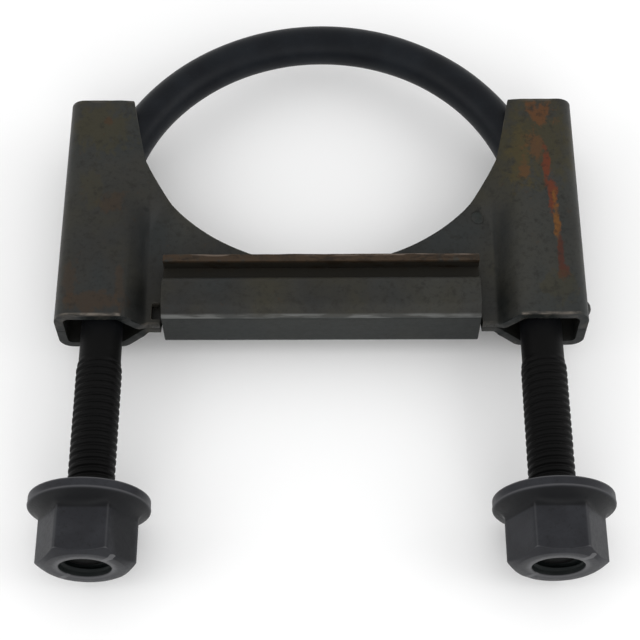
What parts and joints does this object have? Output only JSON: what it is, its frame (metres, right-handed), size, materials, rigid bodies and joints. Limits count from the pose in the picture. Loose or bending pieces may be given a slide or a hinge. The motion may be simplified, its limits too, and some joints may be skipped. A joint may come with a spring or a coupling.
{
  "type": "exhaust pipe u-bolt clamp",
  "caption": "U-bolt pipe clamp: bent threaded rod, pressed steel saddle that slides on both legs, and a hexagon flange nut on each leg.",
  "frame": {"origin": "centre of the U-bolt's bow, on the clamp's mid-plane, where the axis of a clamped pipe lies", "axes": "+X across the legs, +Y from the nuts towards the bow, +Z along the pipe axis, out of the stamped front face"},
  "size_m": [0.1162, 0.1315, 0.0244],
  "materials": {
    "bolt_steel": "black oxide, satin and oiled",
    "saddle_steel": "bare mill-scale steel with light rust",
    "nut_steel": "dark phosphate, matt"
  },
  "bodies": {
    "u_bolt": {"u_bolt": "bolt_steel"},
    "saddle": {"saddle_front_plate": "saddle_steel", "saddle_back_plate": "saddle_steel", "saddle_seat_strip": "saddle_steel"},
    "left_nut": {"left_flange_nut": "nut_steel"},
    "right_nut": {"right_flange_nut": "nut_steel"}
  },
  "joints": [
    {"name": "saddle_slide", "type": "slide", "parent": "u_bolt", "child": "saddle", "axis": [0, 1, 0], "range_m": [-0.0272, 0]},
    {"name": "left_nut_travel", "type": "slide", "parent": "u_bolt", "child": "left_nut", "axis": [0, 1, 0], "range_m": [-0.00953, 0.00953]},
    {"name": "right_nut_travel", "type": "slide", "parent": "u_bolt", "child": "right_nut", "axis": [0, 1, 0], "range_m": [-0.00953, 0.00953]}
  ]
}
